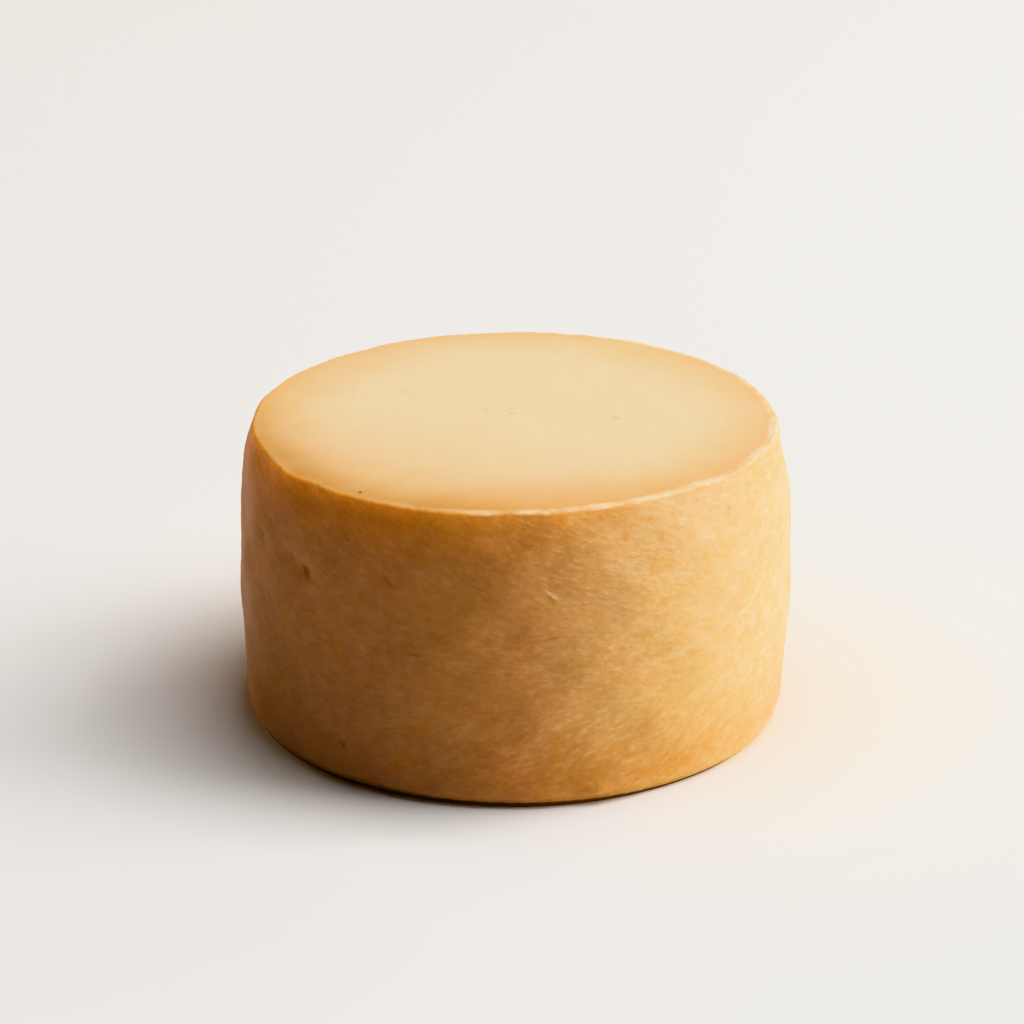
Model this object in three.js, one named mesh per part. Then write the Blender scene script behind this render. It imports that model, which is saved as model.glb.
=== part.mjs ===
// A whole pressed cheese: one uncut wheel with barrel sides, a crisp top edge and a round bottom edge.
// Millimetres, +Z up. The wheel stands on its flat underside, with the origin at the middle of it.
import * as THREE from "three";

// Driving dimensions
const bellyRadius = 99.65; // the widest ring of the barrel
const bellyHeight = 62; // where that ring is
const wheelHeight = 109.2; // to the rim of the top face
const topDome = 0.8; // rise of the top face from the rim to its middle
const barrelDrop = 1.7; // how far the barrel's curve draws in from the belly to the rim
const shoulderDrop = 3.3; // how much more the shoulder draws in just under the rim
const topEdge = 1.5; // radius of the crisp edge round the top
const bottomEdge = { width: 7.6, height: 6.5 }; // quarter ellipse that draws the side in at the foot
const lipHeight = 1.8; // the foot ends this far above the floor, at a crisp lip
const undercut = 0.6; // from the lip in to the flat underside

// Unevenness of the outline: each wave swells the wheel `size` mm at `turn` degrees, `around` times.
const topWaves = [
  { around: 1, size: 0.34, turn: 0 },
  { around: 2, size: 0.83, turn: 57.3 },
  { around: 3, size: 0.55, turn: -3.6 },
  { around: 4, size: 0.55, turn: -21.7 },
];
const bottomWaves = [
  { around: 1, size: 0.93, turn: -128.8 },
  { around: 2, size: 1.07, turn: -13.1 },
  { around: 3, size: 1.13, turn: -34.9 },
  { around: 4, size: 0.76, turn: -19 },
  { around: 5, size: 0.65, turn: -6.9 },
];

// Shallow furrows that climb the side on a slant, `climb` degrees for each mm of height.
const furrows = [
  { around: 11, climb: 0.62, size: 0.2, turn: 40 },
  { around: 17, climb: -0.55, size: 0.18, turn: 115 },
  { around: 23, climb: 0.48, size: 0.12, turn: 250 },
];

// Broad flats and swellings of the side, then its marks: how far round and how high the middle is,
// how wide and tall it spreads, and how deep it goes (a negative depth stands out).
const sideMarks = [
  { turn: 0, height: 101, width: 50, tall: 11, depth: 1.7 },
  { turn: 0, height: 40, width: 50, tall: 11, depth: -0.8 },
  { turn: 153, height: 106, width: 26, tall: 16, depth: 0.9 },
  { turn: 116, height: 107, width: 22, tall: 16, depth: -0.6 },
  { turn: 224.7, height: 77.4, width: 4.5, tall: 3.5, depth: 1.2 },
  { turn: 220.3, height: 80.5, width: 5, tall: 3, depth: 0.5 },
  { turn: 208.8, height: 79.9, width: 6, tall: 6, depth: 0.6 },
  { turn: 230.5, height: 17, width: 7, tall: 4, depth: 0.5 },
  { turn: 277.3, height: 80, width: 7, tall: 4, depth: 0.6 },
  { turn: 287.3, height: 6, width: 4, tall: 3, depth: -0.8 },
];

// Soft nicks that lower the rim.
const rimNicks = [
  { turn: 209.2, width: 8, depth: 0.7 },
  { turn: 217.8, width: 6, depth: 0.8 },
  { turn: 128, width: 9, depth: 0.5 },
  { turn: 318, width: 6, depth: 0.3 },
];
const rimReach = 7; // how far in from the rim a nick fades out

// Fineness
const stepsAround = 108;
const sideSteps = 27;
const topEdgeSteps = 4;
const bottomEdgeSteps = 6;
const topRings = [0.985, 0.95, 0.88, 0.76, 0.6, 0.42, 0.2];
const bottomRings = [0.4, 0.75, 1];

const toAngle = THREE.MathUtils.degToRad;

// Radius of the side at a height: a barrel curve, and a shoulder that draws in above the belly.
function sideAt(z) {
  const share = (z - bellyHeight) / (wheelHeight - bellyHeight);
  return bellyRadius - barrelDrop * share ** 2 - shoulderDrop * Math.max(share, 0) ** 4;
}

const sideBottom = bottomEdge.height;
const sideTop = wheelHeight - topEdge;
const footRadius = sideAt(sideBottom) - bottomEdge.width;
const lipSwing = Math.acos(1 - lipHeight / bottomEdge.height);
const flatRadius = footRadius + bottomEdge.width * Math.sin(lipSwing) - undercut;
const rimRadius = sideAt(sideTop) - topEdge;

// Half section from the middle of the underside, out to the lip and up the side, to the middle of the top.
function halfSection() {
  const points = [new THREE.Vector2(0, 0)];
  const add = (radius, z) => points.push(new THREE.Vector2(radius, z));
  bottomRings.forEach((share) => add(share * flatRadius, 0));
  for (let i = 0; i < bottomEdgeSteps; i++) {
    const swing = THREE.MathUtils.lerp(lipSwing, Math.PI / 2, i / bottomEdgeSteps);
    add(footRadius + bottomEdge.width * Math.sin(swing), sideBottom * (1 - Math.cos(swing)));
  }
  for (let i = 0; i <= sideSteps; i++) {
    const z = THREE.MathUtils.lerp(sideBottom, sideTop, i / sideSteps);
    add(sideAt(z), z);
  }
  for (let i = 1; i <= topEdgeSteps; i++) {
    const swing = ((i / topEdgeSteps) * Math.PI) / 2;
    add(rimRadius + topEdge * Math.cos(swing), sideTop + topEdge * Math.sin(swing));
  }
  topRings.forEach((share) => add(share * rimRadius, wheelHeight + topDome * (1 - share ** 2)));
  add(0, wheelHeight + topDome);
  return points;
}

// 1 at the middle of a mark, fading to 0 about two widths away.
function bump(distance, width) {
  return Math.exp(-((distance / width) ** 2));
}

// Sum of waves round the wheel at an angle.
function waveSum(waves, angle) {
  return waves.reduce(
    (sum, wave) => sum + wave.size * Math.cos(wave.around * (angle - toAngle(wave.turn))),
    0,
  );
}

// Distance round the wheel, in mm, from a mark to an angle.
function wayRound(angle, mark) {
  const turn = angle - toAngle(mark.turn);
  return bellyRadius * Math.atan2(Math.sin(turn), Math.cos(turn));
}

function furrowDepth(angle, z) {
  return furrows.reduce((sum, furrow) => {
    const start = toAngle(furrow.turn + furrow.climb * z);
    return sum + furrow.size * Math.cos(furrow.around * (angle - start));
  }, 0);
}

function markDepth(angle, z) {
  return sideMarks.reduce((sum, mark) => {
    const spread = bump(wayRound(angle, mark), mark.width) * bump(z - mark.height, mark.tall);
    return sum + mark.depth * spread;
  }, 0);
}

function nickDepth(angle, radius) {
  return rimNicks.reduce((sum, nick) => {
    const spread = bump(wayRound(angle, nick), nick.width) * bump(radius - rimRadius, rimReach);
    return sum + nick.depth * spread;
  }, 0);
}

// Turned wheel, then made uneven: each ring swells by its waves, and the side and the rim take
// the relief.
function wheelGeometry() {
  const geometry = new THREE.LatheGeometry(halfSection(), stepsAround).rotateX(Math.PI / 2);
  const position = geometry.attributes.position;
  for (let i = 0; i < position.count; i++) {
    const x = position.getX(i);
    const y = position.getY(i);
    const z = position.getZ(i);
    const radius = Math.hypot(x, y);
    const angle = Math.atan2(y, x);
    const rise = z / wheelHeight;
    const swell = THREE.MathUtils.lerp(waveSum(bottomWaves, angle), waveSum(topWaves, angle), rise);
    const offFloor = THREE.MathUtils.smoothstep(z, 0, sideBottom);
    const relief = offFloor * (furrowDepth(angle, z) + markDepth(angle, z));
    const share = 1 + (swell - relief) / bellyRadius;
    const atTop = THREE.MathUtils.smoothstep(z, sideTop - rimReach, wheelHeight);
    position.setXYZ(i, x * share, y * share, z - atTop * nickDepth(angle, radius));
  }
  // The waves don't balance out exactly, so the origin goes back to the middle of the outline.
  geometry.computeBoundingBox();
  const middle = geometry.boundingBox.getCenter(new THREE.Vector3());
  geometry.translate(-middle.x, -middle.y, 0);
  geometry.computeVertexNormals();
  return geometry;
}

const rind = new THREE.MeshStandardMaterial({ color: 0xe2b272, roughness: 0.6, metalness: 0 });

const cheeseWheel = new THREE.Mesh(wheelGeometry(), rind);
cheeseWheel.name = "cheese_wheel";

const wheel = new THREE.Group();
wheel.add(cheeseWheel);

export default wheel;
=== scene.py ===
import math

import bpy
import numpy as np
from mathutils import Matrix, Vector


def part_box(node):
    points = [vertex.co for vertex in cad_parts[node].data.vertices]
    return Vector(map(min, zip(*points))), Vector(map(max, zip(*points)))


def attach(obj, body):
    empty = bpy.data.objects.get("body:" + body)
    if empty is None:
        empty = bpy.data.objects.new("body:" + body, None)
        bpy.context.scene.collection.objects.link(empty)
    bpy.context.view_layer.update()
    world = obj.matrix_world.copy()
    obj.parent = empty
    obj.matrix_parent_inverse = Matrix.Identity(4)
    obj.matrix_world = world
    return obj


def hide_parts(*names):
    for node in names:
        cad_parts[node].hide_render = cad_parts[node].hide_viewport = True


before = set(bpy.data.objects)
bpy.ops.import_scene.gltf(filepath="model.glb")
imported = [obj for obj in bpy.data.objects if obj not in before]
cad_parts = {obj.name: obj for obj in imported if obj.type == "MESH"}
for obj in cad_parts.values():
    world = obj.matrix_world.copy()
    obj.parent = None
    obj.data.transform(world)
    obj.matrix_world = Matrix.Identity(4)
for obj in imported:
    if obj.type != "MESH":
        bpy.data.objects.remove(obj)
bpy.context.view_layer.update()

mm = 0.001

# Lengths in mm, turns in degrees counted from +X over the top of the wheel.
wheel = {
    "bellyRadius": 99.65,  # the widest ring of the barrel
    "bellyHeight": 62.0,
    "height": 109.2,  # to the rim of the top face
    "topDome": 0.8,
    "barrelDrop": 1.7,  # from the belly in to the rim
    "shoulderDrop": 3.3,  # extra draw-in just under the rim
    "topEdge": 1.5,  # radius of the crisp edge round the top
    "bottomEdge": (7.6, 6.5),  # width and height of the rounding at the foot
    "lipHeight": 1.8,  # the rounding ends at a crisp lip this far above the floor
    "undercut": 0.6,  # from the lip in to the flat underside
    "topWaves": [(1, 0.34, 0.0), (2, 0.83, 57.3), (3, 0.55, -3.6), (4, 0.55, -21.7)],
    "bottomWaves": [  # times round, size, turn
        (1, 0.93, -128.8), (2, 1.07, -13.1), (3, 1.13, -34.9), (4, 0.76, -19.0), (5, 0.65, -6.9),
    ],
    "furrows": [  # slanting, shallow; times round, climb in degrees per mm, size, turn
        (11, 0.62, 0.2, 40.0), (17, -0.55, 0.18, 115.0), (23, 0.48, 0.12, 250.0),
    ],
    "sideMarks": [  # turn, height, width, tall, depth
        (0.0, 101.0, 50.0, 11.0, 1.7),
        (0.0, 40.0, 50.0, 11.0, -0.8),
        (153.0, 106.0, 26.0, 16.0, 0.9),
        (116.0, 107.0, 22.0, 16.0, -0.6),
        (224.7, 77.4, 4.5, 3.5, 1.2),
        (220.3, 80.5, 5.0, 3.0, 0.5),
        (208.8, 79.9, 6.0, 6.0, 0.6),
        (230.5, 17.0, 7.0, 4.0, 0.5),
        (277.3, 80.0, 7.0, 4.0, 0.6),
        (287.3, 6.0, 4.0, 3.0, -0.8),
    ],
    "rimNicks": [  # turn, width, depth
        (209.2, 8.0, 0.7), (217.8, 6.0, 0.8), (128.0, 9.0, 0.5), (318.0, 6.0, 0.3),
    ],
    "nickReach": 7.0,  # how far in from the rim a nick fades out
    # relief of the brush: how many waves, times round, climb in radians per mm, and size times times round
    "brushWaves": {"count": 26, "times": (24, 110), "climb": (0.006, 0.03), "size": 0.9},
    "topSwells": {"count": 14, "length": (18, 60), "size": 0.0009},  # size for 1 mm of length
    "ragged": (0.16, 0.32),  # small unevenness of the rim and of the lip, each way
    "raggedWaves": {"count": 50, "times": (40, 260)},  # how many, and times round
    "columns": 720,  # of the mesh, round the wheel
    "sideRows": 90,  # up the side
    "seed": 11,  # of the random draws
}


def waveSum(waves, turn):
    # sum of size * cos(times * (turn - start)) over the waves
    return sum(size * np.cos(times * (turn - math.radians(start))) for times, size, start in waves)


def spread(distance, width):
    # 1 at the middle of a mark, exp(-(distance / width) squared) away from it
    return np.exp(-((distance / width) ** 2))


def wayRound(turn, markTurn):
    # distance round the belly from a mark, with the turn wrapped to half a circle each way
    return wheel["bellyRadius"] * np.angle(np.exp(1j * (turn - math.radians(markTurn))))


def smooth(value, low, high):
    # 0 below low, 1 above high, 3t^2 - 2t^3 between
    t = np.clip((value - low) / (high - low), 0, 1)
    return t * t * (3 - 2 * t)


def sideRadius(z):
    # belly less a parabola, and less a fourth power of the share above the belly
    share = (z - wheel["bellyHeight"]) / (wheel["height"] - wheel["bellyHeight"])
    shoulder = wheel["shoulderDrop"] * np.maximum(share, 0) ** 4
    return wheel["bellyRadius"] - wheel["barrelDrop"] * share**2 - shoulder


def halfSection():
    # radius and height from near the middle of the underside to near the middle of the top: flat,
    # straight undercut, quarter ellipse from the lip on, barrel side, quarter circle, shallow dome
    footWidth, footHeight = wheel["bottomEdge"]
    sideTop = wheel["height"] - wheel["topEdge"]
    footRadius = sideRadius(footHeight) - footWidth
    rimRadius = sideRadius(sideTop) - wheel["topEdge"]
    lipSwing = math.acos(1 - wheel["lipHeight"] / footHeight)
    lipRadius = footRadius + footWidth * math.sin(lipSwing)
    flatRadius = lipRadius - wheel["undercut"]
    flat = np.array([0.35, 0.7, 0.9, 1.0]) * flatRadius
    under = np.array([0.1, 0.35, 0.65, 0.9])
    foot = lipSwing + (math.pi / 2 - lipSwing) * np.linspace(0, 1, 10)[:-1] ** 1.5
    side = np.linspace(footHeight, sideTop, wheel["sideRows"])
    edge = np.linspace(0, math.pi / 2, 6)[1:]
    top = rimRadius * (1 - np.linspace(0, 1, 26)[1:-1] ** 1.5)
    radius = np.concatenate([
        flat,
        flatRadius + under * wheel["undercut"],
        footRadius + footWidth * np.sin(foot),
        sideRadius(side),
        rimRadius + wheel["topEdge"] * np.cos(edge),
        top,
    ])
    height = np.concatenate([
        np.zeros(len(flat)),
        under * wheel["lipHeight"],
        footHeight * (1 - np.cos(foot)),
        side,
        sideTop + wheel["topEdge"] * np.sin(edge),
        wheel["height"] + wheel["topDome"] * (1 - (top / rimRadius) ** 2),
    ])
    return radius, height, rimRadius


def brushRelief(turn, z):
    # shallow waves in mm with crests that climb the side on a slant, size * cos(times * (turn - climb * z)
    # + phase), swelled and faded in patches by slower waves of the same kind
    waves = wheel["brushWaves"]
    draw = np.random.RandomState(wheel["seed"])
    relief = np.zeros(np.broadcast(turn, z).shape)
    for n in range(waves["count"]):
        times = draw.randint(*waves["times"])
        climb = draw.choice([-1, 1, 1]) * draw.uniform(*waves["climb"])
        phase, patchPhase = draw.uniform(0, 2 * math.pi, 2)
        patchTimes, patchRise = draw.randint(2, 9), draw.uniform(-0.09, 0.09)
        patch = 0.5 + 0.5 * np.cos(patchTimes * turn + patchRise * z + patchPhase)
        relief += (waves["size"] / times) * patch * np.cos(times * (turn - climb * z) + phase)
    return relief


def topRelief(x, y):
    # very low swells of the top face, a sum of plane waves in x and y, the longer the higher
    swells = wheel["topSwells"]
    draw = np.random.RandomState(wheel["seed"] + 1)
    relief = np.zeros(np.broadcast(x, y).shape)
    for n in range(swells["count"]):
        way = draw.uniform(0, 2 * math.pi)
        length = draw.uniform(*swells["length"])
        phase = draw.uniform(0, 2 * math.pi)
        across = x * math.cos(way) + y * math.sin(way)
        relief += swells["size"] * length * np.cos(2 * math.pi * across / length + phase)
    return relief


def raggedness(turn, seed):
    # -1 to 1 round the wheel: a sum of cosines, the faster the lower
    count = wheel["raggedWaves"]["count"]
    draw = np.random.RandomState(seed)
    times = draw.randint(*wheel["raggedWaves"]["times"], count)[:, None]
    phase = draw.uniform(0, 2 * math.pi, count)[:, None]
    waves = (np.cos(times * turn.reshape(1, -1) + phase) / np.sqrt(times)).sum(0)
    return waves / np.abs(waves).max()


def wheelSurface():
    # grid of (row along the half section, column round the wheel); each ring swells by its waves,
    # the side takes its relief, and the rim its nicks
    radius, z, rimRadius = halfSection()
    raggedRim, raggedLip = wheel["ragged"]
    turn = np.arange(wheel["columns"]) * 2 * math.pi / wheel["columns"]
    radius, z, turn = radius[:, None], z[:, None], turn[None, :]
    rise = z / wheel["height"]
    swell = waveSum(wheel["bottomWaves"], turn) * (1 - rise) + waveSum(wheel["topWaves"], turn) * rise
    offFloor = smooth(z, 0, wheel["bottomEdge"][1])
    offRim = 1 - smooth(z, wheel["height"] - 6, wheel["height"] - 1)
    furrow = sum(
        size * np.cos(times * (turn - np.radians(start + climb * z)))
        for times, climb, size, start in wheel["furrows"]
    )
    marks = sum(
        depth * spread(wayRound(turn, markTurn), width) * spread(z - height, tall)
        for markTurn, height, width, tall, depth in wheel["sideMarks"]
    )
    # the brush's relief fades to a quarter towards the rim
    relief = offFloor * (furrow + marks + (0.25 + 0.75 * offRim) * brushRelief(turn, z))
    nearLip = spread(z - wheel["lipHeight"], 1.6) * smooth(z, 0, wheel["lipHeight"])
    relief = relief + nearLip * raggedLip * (1 + raggedness(turn, wheel["seed"] + 2))
    share = 1 + (swell - relief) / wheel["bellyRadius"]
    x, y = radius * share * np.cos(turn), radius * share * np.sin(turn)
    nicks = sum(
        depth * spread(wayRound(turn, nickTurn), width) * spread(radius - rimRadius, wheel["nickReach"])
        for nickTurn, width, depth in wheel["rimNicks"]
    )
    nearRim = spread(radius - rimRadius, 2.0)
    nicks = nicks + nearRim * raggedRim * (1 + raggedness(turn, wheel["seed"] + 3))
    atTop = smooth(z, wheel["height"] - wheel["topEdge"] - wheel["nickReach"], wheel["height"])
    onTop = smooth(z, wheel["height"] - 0.5, wheel["height"]) * smooth(rimRadius - radius, 0, 30)
    z = z - atTop * nicks + onTop * topRelief(x, y)
    return x, y, z


def closedGrid(name, x, y, z):
    # mesh from a grid closed round its columns, with a pole at each end; faces wind outwards
    rows, columns = x.shape
    points = np.stack([x, y, z], 2).reshape(-1, 3)
    poles = np.array([[grid[end].mean() for grid in (x, y, z)] for end in (0, -1)])
    points = np.concatenate([points, poles])
    here = np.arange(columns)
    after = (here + 1) % columns
    row = np.arange(rows - 1)[:, None] * columns
    quads = np.stack([row + here, row + after, row + columns + after, row + columns + here], 2)
    quads = quads.reshape(-1, 4)
    top = (rows - 1) * columns
    low = np.stack([after, here, np.full(columns, rows * columns)], 1)
    high = np.stack([top + here, top + after, np.full(columns, rows * columns + 1)], 1)
    mesh = bpy.data.meshes.new(name)
    mesh.from_pydata(points.tolist(), [], quads.tolist() + low.tolist() + high.tolist())
    mesh.polygons.foreach_set("use_smooth", np.ones(len(mesh.polygons), bool))
    mesh.update()
    piece = bpy.data.objects.new(name, mesh)
    bpy.context.collection.objects.link(piece)
    return piece


def fitToBox(x, y, z, node):
    # mm to metres, centred on the node's box and standing on its floor, and drawn in where the finer
    # grid would stand a hair proud of the box
    low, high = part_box(node)
    hair = 0.02 * mm
    out = []
    for values, least, most in zip((x, y), low, high):
        span = (values.max() - values.min()) * mm
        share = min(1.0, (most - least - 2 * hair) / span)
        out.append((least + most) / 2 + (values - (values.max() + values.min()) / 2) * mm * share)
    out.append(z * mm * min(1.0, (high.z - hair) / (z.max() * mm)))
    return out


class Value:
    # a socket that works like a number in sums, and adds the Math nodes for them
    def __init__(self, shader, socket):
        self.shader, self.socket = shader, socket

    def maths(self, operation, *others):
        inputs = dict(enumerate((self,) + others))
        return self.shader.node("ShaderNodeMath", {"operation": operation}, inputs)

    def turned(self, operation, other):
        return self.shader.node("ShaderNodeMath", {"operation": operation}, {0: other, 1: self})

    def __add__(self, other):
        return self.maths("ADD", other)

    def __radd__(self, other):
        return self.turned("ADD", other)

    def __sub__(self, other):
        return self.maths("SUBTRACT", other)

    def __rsub__(self, other):
        return self.turned("SUBTRACT", other)

    def __mul__(self, other):
        return self.maths("MULTIPLY", other)

    def __rmul__(self, other):
        return self.turned("MULTIPLY", other)

    def __truediv__(self, other):
        return self.maths("DIVIDE", other)

    def __rtruediv__(self, other):
        return self.turned("DIVIDE", other)

    def __neg__(self):
        return self.maths("MULTIPLY", -1.0)

    def between(self, low, high):
        # smooth step from 0 at low to 1 at high
        inputs = {"Value": self, "From Min": low, "From Max": high}
        return self.shader.node("ShaderNodeMapRange", {"interpolation_type": "SMOOTHSTEP"}, inputs)


class Shader:
    # one material and the means to add nodes to it
    def __init__(self, name):
        self.material = bpy.data.materials.new(name)
        self.material.use_nodes = True
        self.tree = self.material.node_tree
        self.tree.nodes.clear()

    def node(self, kind, settings=None, inputs=None, output=0):
        made = self.tree.nodes.new(kind)
        for key, setting in (settings or {}).items():
            setattr(made, key, setting)
        for key, value in (inputs or {}).items():
            if isinstance(value, Value):
                self.tree.links.new(value.socket, made.inputs[key])
            else:
                made.inputs[key].default_value = value
        return Value(self, made.outputs[output]) if made.outputs else None

    def finish(self, surface):
        self.node("ShaderNodeOutputMaterial", None, {"Surface": surface})
        return self.material

    def vector(self, operation, *values, output=0):
        return self.node("ShaderNodeVectorMath", {"operation": operation}, dict(enumerate(values)), output)

    def mix(self, share, first, second, blend="MIX"):
        # the factor, A and B sockets of a colour mix are 0, 6 and 7
        first = (*first, 1.0) if isinstance(first, tuple) else first
        second = (*second, 1.0) if isinstance(second, tuple) else second
        settings = {"data_type": "RGBA", "blend_type": blend}
        return self.node("ShaderNodeMix", settings, {0: share, 6: first, 7: second}, output=2)

    def noise(self, place, scale, detail=2.0, roughness=0.5):
        inputs = {"Vector": place, "Scale": scale, "Detail": detail, "Roughness": roughness}
        return self.node("ShaderNodeTexNoise", None, inputs)


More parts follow.
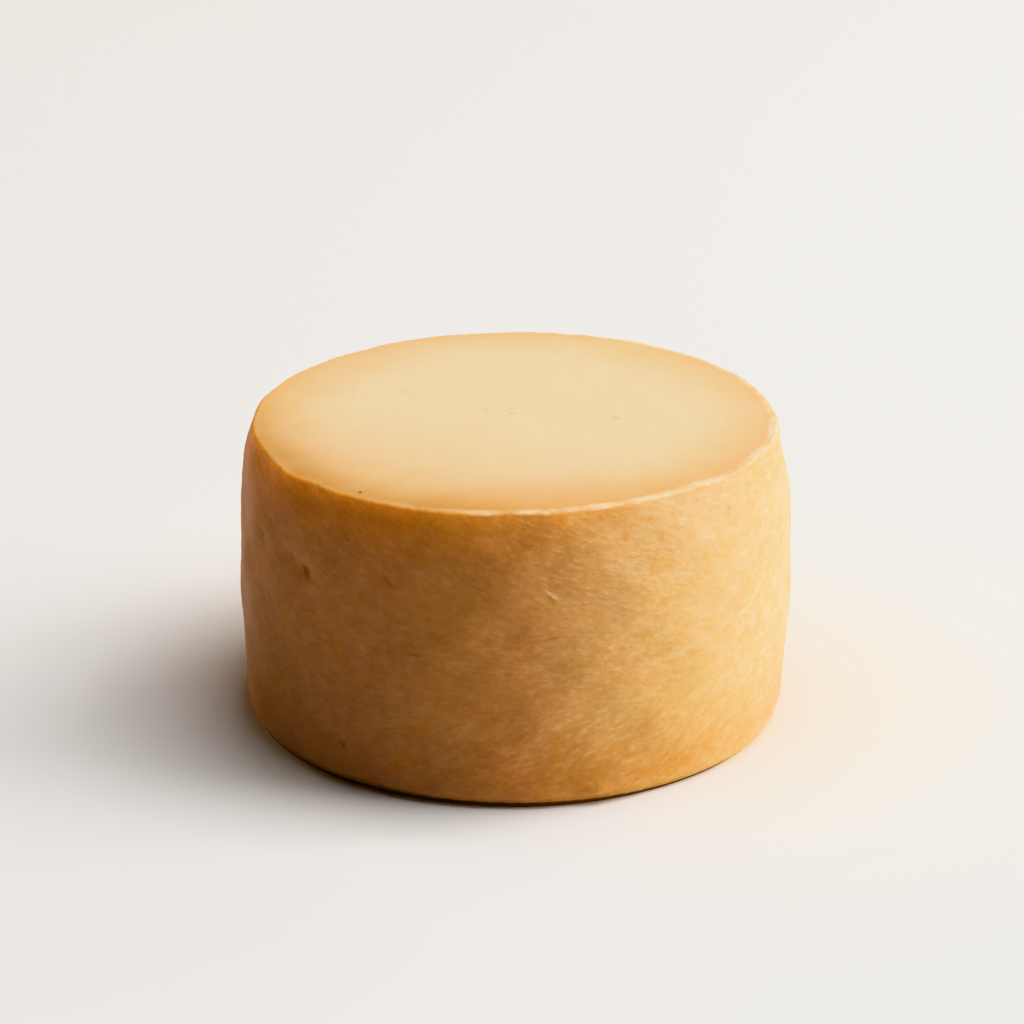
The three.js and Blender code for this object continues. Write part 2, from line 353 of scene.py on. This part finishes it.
rind = {
    # colours of the side from left to right, as the wheel stands: partly the rind's own colour, partly
    # painted shade that browns and darkens the left and painted light that pales the right
    "brown": (0.452, 0.209, 0.085),
    "tawny": (0.530, 0.243, 0.086),
    "golden": (0.585, 0.350, 0.112),
    "straw": (0.900, 0.640, 0.250),
    # colours of the top: its middle and near the rim
    "cream": (0.890, 0.700, 0.420),
    "rimGold": (0.860, 0.520, 0.200),
    "wornAndLitCream": (0.940, 0.770, 0.490),  # along the worn edge: partly real wear, partly a painted highlight where the light catches the rim
    # painted shade for the gap under the lip
    "underLipShade": (0.085, 0.030, 0.010),  # under the lip
    "behind": (0.560, 0.350, 0.130),  # of the side at the back
    # tints that multiply a colour; the first two are for the left, the middle and the right
    "deep": ((0.87, 0.78, 0.72), (0.93, 0.83, 0.60), (0.88, 0.78, 0.48)),
    "pale": ((1.13, 1.21, 1.27), (1.05, 1.14, 1.45), (1.10, 1.20, 1.75)),
    "whitish": (1.10, 1.19, 1.34),
    "orange": (0.97, 0.85, 0.58),
    # painted shade: darker tints for the far left of the side and for its foot
    "farLeftShade": (0.69, 0.68, 0.47),
    "farLeftFootShade": (0.68, 0.72, 0.72),
    "footBrown": (0.93, 0.92, 1.00),
    "footGolden": (0.92, 0.77, 0.56),
    # painted shade: the low part of the pale right side, less pale than higher up
    "lowRightShade": (1.00, 0.96, 0.84),
    "peach": (1.02, 1.06, 1.20),
    # warm band under the rim: partly the rind's own colour, partly a painted glow of light that comes
    # through the rim from the lit top
    "amber": (1.25, 1.04, 0.60),
    "amberRim": (1.35, 1.56, 1.30),
    # painted light and shade for the left of the side: lighter high up, darker low down
    "high": (1.16, 1.06, 1.00),
    "low": (0.90, 0.88, 0.92),
    "footEdge": (1.03, 1.10, 1.26),
    # partly a pale crust along the lip, partly painted light thrown up from the floor
    "lipLine": (1.30, 1.38, 1.60),
    # painted shade on the top towards the front, deeper at the front of the rim
    "topFrontShade": (0.95, 0.87, 0.80),
    "rimFrontShade": (0.80, 0.74, 0.64),
    "rimLine": (1.00, 0.97, 0.91),
    "pit": (0.52, 0.38, 0.25),
    # dark dashes, and the painted shadow under a flake; pale flecks, and the painted highlight on it
    "darkDashAndShadow": (0.80, 0.70, 0.58),
    "paleFleckAndHighlight": (1.25, 1.45, 1.90),
    "olive": (0.86, 0.80, 0.55),
    # strokes of the brush: along and across in mm, and how much they show in the tone
    "strokes": {"broad": (9.5, 4.5, 1.0), "wisps": (4.4, 1.4, 1.0), "fibres": (2.2, 0.55, 0.9)},
    # cloudy patches: how many to a metre, and how much they show in the tone
    "clouds": {"patches": (85.0, 1.0), "mottle": (230.0, 0.7), "grain": (480.0, 0.9)},
    # coloured marks of the side: turn, height, half length, half width, tilt, tint and share
    "sideSpots": [
        (224.5, 77.6, 2.2, 1.8, -60.0, "pit", 0.9),
        (220.3, 80.8, 2.4, 1.1, -60.0, "darkDashAndShadow", 0.7),
        (228.6, 74.6, 2.6, 0.8, -35.0, "darkDashAndShadow", 0.6),
        (208.8, 79.9, 3.4, 1.5, -60.0, "darkDashAndShadow", 0.8),
        (235.1, 95.4, 2.6, 1.0, -45.0, "darkDashAndShadow", 0.9),
        (245.2, 82.6, 3.2, 0.5, -55.0, "darkDashAndShadow", 0.8),
        (263.5, 83.4, 3.6, 0.6, -18.0, "darkDashAndShadow", 0.7),
        (251.0, 92.0, 3.0, 1.4, -30.0, "orange", 0.8),
        (250.7, 57.7, 2.8, 0.7, 4.0, "darkDashAndShadow", 0.9),
        (232.7, 16.6, 1.9, 1.5, 0.0, "pit", 0.7),
        (228.3, 17.3, 3.2, 1.6, 0.0, "darkDashAndShadow", 0.6),
        (219.0, 29.2, 1.1, 2.2, 0.0, "darkDashAndShadow", 0.7),
        # a small flake: a painted highlight along it and a painted shadow below it
        (276.2, 82.0, 2.8, 0.45, -42.0, "paleFleckAndHighlight", 0.9),
        (277.6, 80.3, 1.6, 0.8, -30.0, "paleFleckAndHighlight", 0.9),
        (276.6, 79.6, 2.2, 0.7, -30.0, "darkDashAndShadow", 0.7),
        (277.4, 65.5, 2.3, 0.5, 6.0, "darkDashAndShadow", 0.9),
        (300.5, 73.0, 2.4, 1.8, 10.0, "orange", 1.0),
        (318.3, 97.0, 1.4, 1.8, 20.0, "orange", 1.0),
        (318.3, 98.6, 0.9, 0.6, 60.0, "darkDashAndShadow", 1.0),
        (307.4, 51.4, 2.2, 1.8, 0.0, "orange", 0.9),
        (292.0, 98.0, 1.6, 1.6, 0.0, "orange", 0.8),
        (297.0, 102.5, 3.0, 1.4, -5.0, "orange", 0.8),
        (279.4, 23.4, 1.1, 0.4, 25.0, "paleFleckAndHighlight", 0.5),
        (284.1, 20.6, 1.6, 0.4, 30.0, "paleFleckAndHighlight", 0.6),
        (286.9, 19.6, 0.7, 0.5, 0.0, "paleFleckAndHighlight", 0.5),
        (291.3, 17.3, 1.8, 0.5, 20.0, "paleFleckAndHighlight", 0.5),
        (271.6, 26.2, 0.8, 0.4, 0.0, "paleFleckAndHighlight", 0.4),
    ],
    # coloured marks of the top: x, y, half length, half width, turn, tint and share
    "topSpots": [
        (-1.6, -2.6, 1.2, 1.0, 20.0, "olive", 1.0),
        (-1.0, 3.4, 1.3, 1.2, -10.0, "olive", 0.9),
        (35.7, -6.2, 2.2, 1.3, -15.0, "olive", 1.0),
        (-10.8, 2.0, 1.0, 3.6, 0.0, "olive", 0.5),
        (6.0, -27.0, 0.5, 1.2, 0.0, "olive", 0.7),
        (-40.4, 21.6, 3.0, 4.0, 0.0, "orange", 0.35),
        (-51.6, -76.8, 0.7, 0.9, 0.0, "pit", 1.0),
    ],
    "fall": -20.0,  # slant of the strokes high up on the left, in degrees
    "level": -4.0,  # at mid height
    "climb": 20.0,  # low down and on the right
    # where each zone fades in, from and to in mm
    "zones": {
        # across the wheel from left to right
        "offFarLeft": (-96.0, -68.0),
        "offGapLeft": (-80.0, -20.0),
        "offAmber": (-70.0, 70.0),
        "tawny": (-55.0, -20.0),
        "wornAndLit": (-55.0, 25.0),
        "footGolden": (-40.0, 30.0),
        "golden": (-10.0, 65.0),
        "gapRight": (0.0, 85.0),
        "peach": (20.0, 48.0),
        "offPeach": (54.0, 82.0),
        "straw": (50.0, 105.0),
        "lowRightShade": (60.0, 95.0),
        "farRight": (62.0, 88.0),
        "offGap": (65.0, 90.0),
        # back from the middle
        "behind": (5.0, 70.0),
        # up from the floor
        "aboveEdge": (4.0, 11.0),
        "aboveFoot": (6.0, 40.0),
        "aboveFootLeft": (8.0, 35.0),
        "aboveFootRight": (20.0, 60.0),
        "high": (25.0, 100.0),
        "aboveClimbing": (32.0, 56.0),
        "peachUp": (40.0, 65.0),
        "falling": (64.0, 84.0),
        # down the side from the rim
        "onSide": (-0.4, 1.2),
        "belowAmberRim": (1.0, 8.0),
        "belowAmber": (4.0, 22.0),
        # over the worn edge with its painted highlight, from the top down
        "wornAndLitTop": (-2.3, -0.7),
        "belowWornAndLit": (0.6, 1.9),
        # over the top from the rim inwards
        "inGold": (-6.0, 36.0),
        "inRim": (0.0, 24.0),
        "inRimLine": (1.0, 7.0),
        # over the top towards the front
        "frontLeft": (-60.0, 80.0),
        "inFront": (10.0, 75.0),
        "atFront": (40.0, 89.0),
    },
    "gapThinning": (1.0, 1.25),  # how much lower the gap under the lip ends at the left and at the right
    # slow noises that bend the zones' edges, how many to a metre
    "noises": {"wobble": 12.0, "drift": 14.0, "top": 24.0, "haze": 30.0, "blotches": 90.0, "fray": 900.0},
    "roughness": (0.44, 0.14),  # and what the patches add
    "bumpShares": {"wisps": 0.55, "fibres": 0.3, "mottle": 0.2, "grain": 0.25},  # what stands out
    "glow": 0.5,  # share of light that passes under the surface
    "glowReach": 8.0,  # mm
    "glowColour": (1.0, 0.45, 0.18),
    "sheen": 0.25,  # strength of the surface's own reflection
    "bump": 0.5,  # strength
    "bumpDepth": 0.5,  # mm
}


def brushed(shader, place, tilt, along, across):
    # noise drawn out into strokes on the side, along * across mm, that climb at `tilt` degrees.
    # With up^2 = along^2 sin^2 + across^2 cos^2 and lean = (along^2 - across^2) sin cos / up^2,
    # turning each point back by lean * z / radius sets the strokes upright, and each axis is scaled.
    tilt = math.radians(tilt)
    up = math.hypot(along * math.sin(tilt), across * math.cos(tilt))
    lean = (along**2 - across**2) * math.sin(tilt) * math.cos(tilt) / up**2
    width = along * across / up
    z = shader.node("ShaderNodeSeparateXYZ", None, {0: place}, output=2)
    angle = z * (-lean / (wheel["bellyRadius"] * mm))
    inputs = {"Vector": place, "Angle": angle}
    upright = shader.node("ShaderNodeVectorRotate", {"rotation_type": "Z_AXIS"}, inputs)
    stretch = (1 / (width * mm), 1 / (width * mm), 1 / (up * mm))
    return shader.noise(shader.vector("MULTIPLY", upright, stretch), 1.0)


def oval(shader, place, frayed, middle, outwards, along, long, wide):
    # 1 in the middle of an oval mark and 0 outside it; lengths in mm, and the edge is frayed by a noise
    turned = Matrix((along, outwards.cross(along), outwards)).transposed().to_euler()
    inputs = {
        "Vector": place,
        "Location": middle * mm,
        "Rotation": turned,
        "Scale": (long * mm, wide * mm, 12 * mm),
    }
    local = shader.node("ShaderNodeMapping", {"vector_type": "TEXTURE"}, inputs)
    return 1.0 - (shader.vector("LENGTH", local, output=1) + frayed).between(0.4, 1.4)


def rindMaterial():
    shader = Shader("cheeseRind")
    place = shader.node("ShaderNodeTexCoord", output=3)
    x, y, z = (shader.node("ShaderNodeSeparateXYZ", None, {0: place}, axis) / mm for axis in range(3))
    fromRim = shader.node("ShaderNodeAttribute", {"attribute_name": "fromRim"}, output=2)
    inwards = -fromRim  # mm from the rim, over the top
    noises = rind["noises"]
    wobble = shader.noise(place, noises["wobble"]) - 0.5  # times some mm, it bends the edge of a zone
    across = x + wobble * 30.0
    drift = shader.node("ShaderNodeTexNoise", None, {"Vector": place, "Scale": noises["drift"]}, output=1)
    bent = shader.vector("MULTIPLY_ADD", drift, (8 * mm,) * 3, place)

    def zone(kind, where):
        return where.between(*rind["zones"][kind])

    # where the brush went which way
    farRight = zone("farRight", across)
    falling = zone("falling", z + wobble * 50.0) * (1.0 - farRight)
    climbing = 1.0 - zone("aboveClimbing", z + wobble * 50.0 - farRight * 40.0)
    level = 1.0 - falling - climbing

    def stroke(kind):
        along, wide, _ = rind["strokes"][kind]
        ways = ((falling, "fall"), (level, "level"), (climbing, "climb"))
        made = [share * brushed(shader, bent, rind[way], along, wide) for share, way in ways]
        return made[0] + made[1] + made[2]

    layers = {kind: stroke(kind) for kind in rind["strokes"]}
    layers.update({kind: shader.noise(bent, scale) for kind, (scale, _) in rind["clouds"].items()})
    patches = layers["patches"]
    tone = 0.5  # of all the layers together, about 0 where the rind is deep and 1 where it is pale
    for kind, layer in layers.items():
        weight = {**rind["strokes"], **rind["clouds"]}[kind][-1]
        tone = (layer - 0.5) * weight + tone

    # colour of the side from left to right, partly painted shade on the left and painted light on the
    # right
    tawny, golden, straw = (zone(kind, across) for kind in ("tawny", "golden", "straw"))
    deep, pale = (
        shader.mix(straw, shader.mix(golden, *rind[kind][:2]), rind[kind][2]) for kind in ("deep", "pale")
    )
    tint = shader.mix(tone.between(-0.3, 1.3), deep, pale)
    side = shader.mix(tawny, rind["brown"], rind["tawny"])
    side = shader.mix(golden, side, rind["golden"])
    side = shader.mix(straw, side, rind["straw"])
    behind = zone("behind", y + wobble * 30.0) * (1.0 - straw)
    side = shader.mix(behind, side, rind["behind"])
    # painted shade on the far left of the side, not at the back
    atLeft = (1.0 - zone("offFarLeft", x + wobble * 8.0)) * (1.0 - behind)
    farLeftShade = shader.mix(zone("aboveFootLeft", z), rind["farLeftFootShade"], rind["farLeftShade"])
    side = shader.mix(atLeft, side, farLeftShade, "MULTIPLY")
    foot = shader.mix(zone("footGolden", across), rind["footBrown"], rind["footGolden"])
    side = shader.mix(1.0 - zone("aboveFoot", z + wobble * 20.0), side, foot, "MULTIPLY")
    # painted shade low on the right side
    atRight = zone("lowRightShade", across) * (1.0 - zone("aboveFootRight", z))
    side = shader.mix(atRight, side, rind["lowRightShade"], "MULTIPLY")
    midRight = zone("peach", across) * (1.0 - zone("offPeach", across)) * zone("peachUp", z)
    side = shader.mix(midRight, side, rind["peach"], "MULTIPLY")
    # painted light and shade on the left: lighter towards the rim, darker towards the foot
    shade = shader.mix(zone("high", z + wobble * 20.0), rind["low"], rind["high"])
    side = shader.mix(1.0 - tawny, side, shade, "MULTIPLY")
    side = shader.mix(1.0 - zone("aboveEdge", z), side, rind["footEdge"], "MULTIPLY")
    # painted glow under the rim, partly the rind's own amber, on the left and middle but not on the right
    atAmber = (1.0 - zone("offAmber", across)) * (1.0 - 0.7 * behind)
    amber = (1.0 - zone("belowAmber", fromRim + wobble * 8.0)) * atAmber
    side = shader.mix(amber, side, rind["amber"], "MULTIPLY")
    amberRim = (1.0 - zone("belowAmberRim", fromRim + wobble * 4.0)) * atAmber
    side = shader.mix(amberRim, side, rind["amberRim"], "MULTIPLY")
    side = shader.mix(1.0, side, tint, "MULTIPLY")
    hazy = shader.noise(place, noises["haze"]).between(0.45, 0.62)
    white = layers["wisps"].between(0.54, 0.7) * (0.2 + 0.6 * hazy) * (0.85 + 0.4 * golden)
    side = shader.mix(white, side, rind["whitish"], "MULTIPLY")
    side = shader.mix(patches.between(0.55, 0.7) * 0.7, side, rind["orange"], "MULTIPLY")

    # its marks, the painted light along the lip and the painted shade in the gap under it
    frayed = (shader.noise(place, noises["fray"]) - 0.5) * 1.6
    pits = 0.0
    for turn, height, long, wide, tilt, tint, share in rind["sideSpots"]:
        turn, tilt = math.radians(turn), math.radians(tilt)
        outwards = Vector((math.cos(turn), math.sin(turn), 0.0))
        around = Vector((-math.sin(turn), math.cos(turn), 0.0))
        along = around * math.cos(tilt) + Vector((0.0, 0.0, math.sin(tilt)))
        middle = outwards * float(sideRadius(height)) + Vector((0.0, 0.0, height))
        spot = oval(shader, place, frayed, middle, outwards, along, long, wide) * share
        side = shader.mix(spot, side, rind[tint], "MULTIPLY")
        if tint == "pit":
            pits = spot + pits
    lip = wheel["lipHeight"]
    # a pale line along the lip: partly crust, partly painted light from the floor
    lipLine = z.between(lip, lip + 0.3) * (1.0 - z.between(lip + 0.5, lip + 1.4)) * golden
    side = shader.mix(lipLine, side, rind["lipLine"], "MULTIPLY")
    # painted shade: the gap under the lip coloured near black, thinner at the left and right and gone at
    # the far right
    thinLeft, thinRight = rind["gapThinning"]
    gapTop = lip - zone("gapRight", across) * thinRight - (1.0 - zone("offGapLeft", across)) * thinLeft
    inGap = (1.0 - (z - gapTop).between(-0.25, 0.0)) * (1.0 - zone("offGap", across))
    side = shader.mix(inGap, side, rind["underLipShade"])

    # colour of the top from the middle out, with painted shade towards the front and the front left
    topNoise = shader.noise(place, noises["top"]) - 0.5
    # more of the rim's gold towards the front left: partly its own colour, partly painted shade
    frontLeft = zone("frontLeft", x * -0.5 - y * 0.85)
    blotches = shader.noise(place, noises["blotches"]) - 0.5
    gold = 1.0 - zone("inGold", inwards + topNoise * 22.0 + blotches * 10.0)
    top = shader.mix(gold * (0.7 + 0.3 * frontLeft), rind["cream"], rind["rimGold"])
    # painted shade towards the front of the top
    inFront = zone("inFront", x * -0.4 - y * 0.9 + topNoise * 30.0)
    top = shader.mix(inFront, top, rind["topFrontShade"], "MULTIPLY")
    # painted shade at the front of the rim
    nearRim = 1.0 - zone("inRim", inwards + topNoise * 12.0 + blotches * 8.0)
    atFront = zone("atFront", x * -0.71 - y * 0.71)
    top = shader.mix(nearRim * atFront, top, rind["rimFrontShade"], "MULTIPLY")
    top = shader.mix(1.0 - zone("inRimLine", inwards), top, rind["rimLine"], "MULTIPLY")
    for right, back, long, wide, turn, tint, share in rind["topSpots"]:
        turn = math.radians(turn)
        along = Vector((math.cos(turn), math.sin(turn), 0.0))
        middle = Vector((right, back, wheel["height"] + wheel["topDome"]))
        spot = oval(shader, place, frayed, middle, Vector((0.0, 0.0, 1.0)), along, long, wide)
        top = shader.mix(spot * share, top, rind[tint], "MULTIPLY")

    # both together, with the worn edge and its painted highlight between them
    onSide = zone("onSide", fromRim)
    colour = shader.mix(onSide, top, side)
    edge = fromRim + (layers["mottle"] - 0.5) * 2.6
    # partly real wear, partly a painted highlight on the rim, faint on the left and strong towards the
    # right
    wornAndLit = zone("wornAndLitTop", edge) * (1.0 - zone("belowWornAndLit", edge))
    wornAndLit = wornAndLit * (0.08 + 0.75 * zone("wornAndLit", across)) * (blotches + 0.5).between(0.3, 0.56)
    colour = shader.mix(wornAndLit, colour, rind["wornAndLitCream"])

    heights = -pits
    for kind, share in rind["bumpShares"].items():
        heights = layers[kind] * share + heights
    inputs = {
        "Strength": rind["bump"],
        "Distance": rind["bumpDepth"] * mm,
        "Height": heights * onSide,
    }
    smoothest, added = rind["roughness"]
    principled = {
        "Base Color": colour,
        "Roughness": smoothest + patches * added,
        "Specular IOR Level": rind["sheen"],
        "Subsurface Weight": rind["glow"],
        "Subsurface Radius": rind["glowColour"],
        "Subsurface Scale": rind["glowReach"] * mm,
        "Normal": shader.node("ShaderNodeBump", None, inputs),
    }
    return shader.finish(shader.node("ShaderNodeBsdfPrincipled", None, principled))


def makeWheel():
    x, y, z = wheelSurface()
    radius, height, rimRadius = halfSection()
    along = np.concatenate([[0], np.cumsum(np.hypot(np.diff(radius), np.diff(height)))])
    fromRim = along[np.argmax(height >= wheel["height"])] - along  # down the side, negative on the top
    piece = closedGrid("cheeseWheelRind", *fitToBox(x, y, z, "cheese_wheel"))
    values = np.concatenate([np.repeat(fromRim, wheel["columns"]), [fromRim[0], fromRim[-1]]])
    attribute = piece.data.attributes.new("fromRim", "FLOAT", "POINT")
    attribute.data.foreach_set("value", values.astype(np.float32))
    piece.data.materials.append(rindMaterial())
    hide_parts("cheese_wheel")
    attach(piece, "root")
    print("wheel made,", len(piece.data.vertices), "points")


makeWheel()

studio = {
    "floorHalf": 9.0,  # metres
    "floorColour": (0.79, 0.785, 0.77),
    "backdrop": (0.88, 0.875, 0.86),  # what the camera sees past the floor
    "fill": ((1.0, 0.90, 0.74), 0.034),  # colour and strength of the light from all round
    # turn and height of the middle in degrees, distance, width and height in metres, watts, colour
    "softboxes": {
        "overhead": (0.0, 75.0, 5.2, 3.0, 3.0, 184.0, (1.0, 1.0, 1.0)),
        "overheadRight": (0.0, 45.0, 5.2, 3.0, 3.0, 164.0, (1.0, 1.0, 1.0)),
        "sideLow": (-10.0, 4.2, 4.0, 1.4, 0.58, 166.0, (1.0, 1.0, 1.0)),
        "sideHigh": (40.0, 28.0, 4.0, 1.4, 1.0, 30.0, (1.0, 1.0, 1.0)),
        "behindLow": (130.0, 4.2, 4.0, 1.4, 0.58, 155.0, (1.0, 0.78, 0.58)),
    },
}


def softbox(name, turn, rise, distance, width, height, watts, colour):
    data = bpy.data.lights.new(name, "AREA")
    data.shape, data.size, data.size_y, data.energy = "RECTANGLE", width, height, watts
    data.color = colour
    light = bpy.data.objects.new(name, data)
    bpy.context.collection.objects.link(light)
    turn, rise = math.radians(turn), math.radians(rise)
    away = Vector((math.cos(rise) * math.cos(turn), math.cos(rise) * math.sin(turn), math.sin(rise)))
    light.location = away * distance
    light.rotation_mode = "QUATERNION"
    light.rotation_quaternion = away.to_track_quat("Z", "Y")
    light.visible_camera = False
    light.visible_glossy = name != "behindLow"  # the low one behind would edge the rind with a white sheen


def makeFloor():
    half = studio["floorHalf"]
    corners = [(-half, -half, 0), (half, -half, 0), (half, half, 0), (-half, half, 0)]
    mesh = bpy.data.meshes.new("floor")
    mesh.from_pydata(corners, [], [(0, 1, 2, 3)])
    floor = bpy.data.objects.new("floor", mesh)
    bpy.context.collection.objects.link(floor)
    shader = Shader("paleFloor")
    principled = {"Base Color": (*studio["floorColour"], 1.0), "Roughness": 0.9, "Specular IOR Level": 0.1}
    mesh.materials.append(shader.finish(shader.node("ShaderNodeBsdfPrincipled", None, principled)))


def makeWorld():
    # the fill lights the wheel, and only the camera sees the backdrop
    world = bpy.data.worlds.new("studio")
    world.use_nodes = True
    nodes, links = world.node_tree.nodes, world.node_tree.links
    colour, strength = studio["fill"]
    fill = nodes["Background"]
    fill.inputs["Color"].default_value = (*colour, 1.0)
    fill.inputs["Strength"].default_value = strength
    seen = nodes.new("ShaderNodeBackground")
    seen.inputs["Color"].default_value = (*studio["backdrop"], 1.0)
    path, choice = nodes.new("ShaderNodeLightPath"), nodes.new("ShaderNodeMixShader")
    links.new(path.outputs["Is Camera Ray"], choice.inputs[0])
    links.new(fill.outputs[0], choice.inputs[1])
    links.new(seen.outputs[0], choice.inputs[2])
    links.new(choice.outputs[0], nodes["World Output"].inputs["Surface"])
    bpy.context.scene.world = world


view = {
    "lens": 91.406,  # mm on a 36 mm wide sensor
    "elevation": 22.103,
    "distance": 0.94904,
    "target": (-0.00124, -0.00012, 0.07086),
}


def makeCamera():
    data = bpy.data.cameras.new("camera")
    data.lens, data.sensor_width = view["lens"], 36.0
    camera = bpy.data.objects.new("camera", data)
    bpy.context.collection.objects.link(camera)
    rise = math.radians(view["elevation"])
    back = Vector((0.0, -math.cos(rise), math.sin(rise)))
    camera.location = Vector(view["target"]) + back * view["distance"]
    camera.rotation_mode = "QUATERNION"
    camera.rotation_quaternion = back.to_track_quat("Z", "Y")
    scene = bpy.context.scene
    scene.camera = camera
    scene.view_settings.view_transform = "Khronos PBR Neutral"
    scene.view_settings.look = "None"


makeFloor()
for name, place in studio["softboxes"].items():
    softbox(name, *place)
makeWorld()
makeCamera()
print("studio made")
